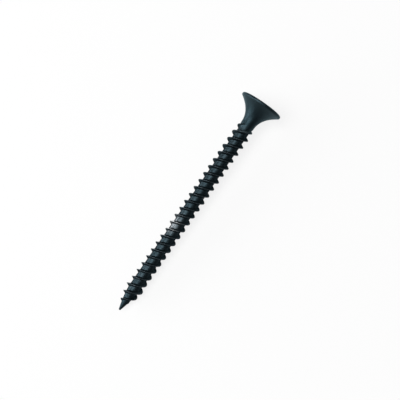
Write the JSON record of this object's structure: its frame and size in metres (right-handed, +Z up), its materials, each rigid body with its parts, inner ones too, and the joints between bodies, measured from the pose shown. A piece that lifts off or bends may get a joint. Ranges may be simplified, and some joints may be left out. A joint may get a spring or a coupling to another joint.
{
  "type": "drywall screw",
  "caption": "Black drywall screw with a bugle head, a cross recess, a twin-start fine thread and a sharp point, for fixing board to thin metal studs",
  "frame": {"origin": "middle of the bounding box, on the surface that the screw lies on", "axes": "X runs along the screw from its point to its head, and Z is up"},
  "size_m": [0.0478, 0.0084, 0.0085],
  "materials": {
    "black_phosphate_steel": "satin"
  },
  "bodies": {
    "root": {"drywall_screw": "black_phosphate_steel"}
  },
  "joints": []
}
